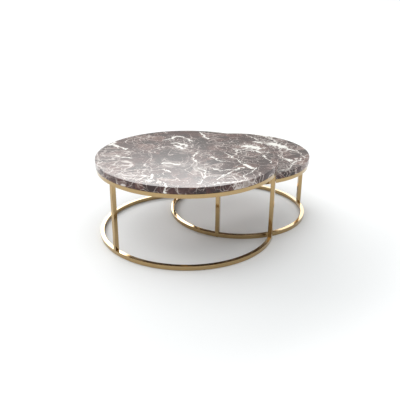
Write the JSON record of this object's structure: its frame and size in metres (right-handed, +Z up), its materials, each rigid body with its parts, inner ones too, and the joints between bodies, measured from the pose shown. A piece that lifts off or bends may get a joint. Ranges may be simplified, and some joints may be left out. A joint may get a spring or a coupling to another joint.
{
  "type": "nesting tables",
  "caption": "Pair of round low tables with polished veined red marble tops on square brass tube frames; the smaller slides under the larger through the open side of its floor ring.",
  "frame": {"origin": "on the floor, under the middle of the pair as it stands pulled out", "axes": "+Z up; +X the way the small table is pulled out from under the big one; +Y to the left of that"},
  "size_m": [1.19, 0.9, 0.4],
  "materials": {
    "marble": "polished red-brown marble with white veins",
    "plated_brass": "polished pale brass plate on square steel tube",
    "screw_steel": "zinc-plated steel",
    "insert_brass": "turned raw brass",
    "silicone": "translucent silicone",
    "glide_nylon": "moulded black nylon"
  },
  "bodies": {
    "big_table": {"big_marble_top": "marble", "big_top_ring": "plated_brass", "big_floor_ring": "plated_brass", "big_ring_end_plate_1": "plated_brass", "big_ring_end_plate_2": "plated_brass", "big_leg_1": "plated_brass", "big_leg_2": "plated_brass", "big_leg_3": "plated_brass", "big_fixing_tab_1": "plated_brass", "big_fixing_tab_2": "plated_brass", "big_fixing_tab_3": "plated_brass", "big_fixing_screw_1": "screw_steel", "big_fixing_screw_2": "screw_steel", "big_fixing_screw_3": "screw_steel", "big_threaded_insert_1": "insert_brass", "big_threaded_insert_2": "insert_brass", "big_threaded_insert_3": "insert_brass", "big_silicone_pad_1": "silicone", "big_silicone_pad_2": "silicone", "big_silicone_pad_3": "silicone", "big_silicone_pad_4": "silicone", "big_silicone_pad_5": "silicone", "big_silicone_pad_6": "silicone", "big_glide_1": "glide_nylon", "big_glide_2": "glide_nylon", "big_glide_3": "glide_nylon", "big_glide_4": "glide_nylon", "big_glide_5": "glide_nylon"},
    "small_table": {"small_marble_top": "marble", "small_top_ring": "plated_brass", "small_floor_ring": "plated_brass", "small_leg_1": "plated_brass", "small_leg_2": "plated_brass", "small_leg_3": "plated_brass", "small_fixing_tab_1": "plated_brass", "small_fixing_tab_2": "plated_brass", "small_fixing_tab_3": "plated_brass", "small_fixing_screw_1": "screw_steel", "small_fixing_screw_2": "screw_steel", "small_fixing_screw_3": "screw_steel", "small_threaded_insert_1": "insert_brass", "small_threaded_insert_2": "insert_brass", "small_threaded_insert_3": "insert_brass", "small_silicone_pad_1": "silicone", "small_silicone_pad_2": "silicone", "small_silicone_pad_3": "silicone", "small_silicone_pad_4": "silicone", "small_silicone_pad_5": "silicone", "small_silicone_pad_6": "silicone", "small_glide_1": "glide_nylon", "small_glide_2": "glide_nylon", "small_glide_3": "glide_nylon", "small_glide_4": "glide_nylon", "small_glide_5": "glide_nylon", "small_glide_6": "glide_nylon"}
  },
  "joints": [
    {"name": "small_table_slide", "type": "slide", "parent": "big_table", "child": "small_table", "axis": [1, 0, 0], "range_m": [-0.045, 0.48]}
  ]
}
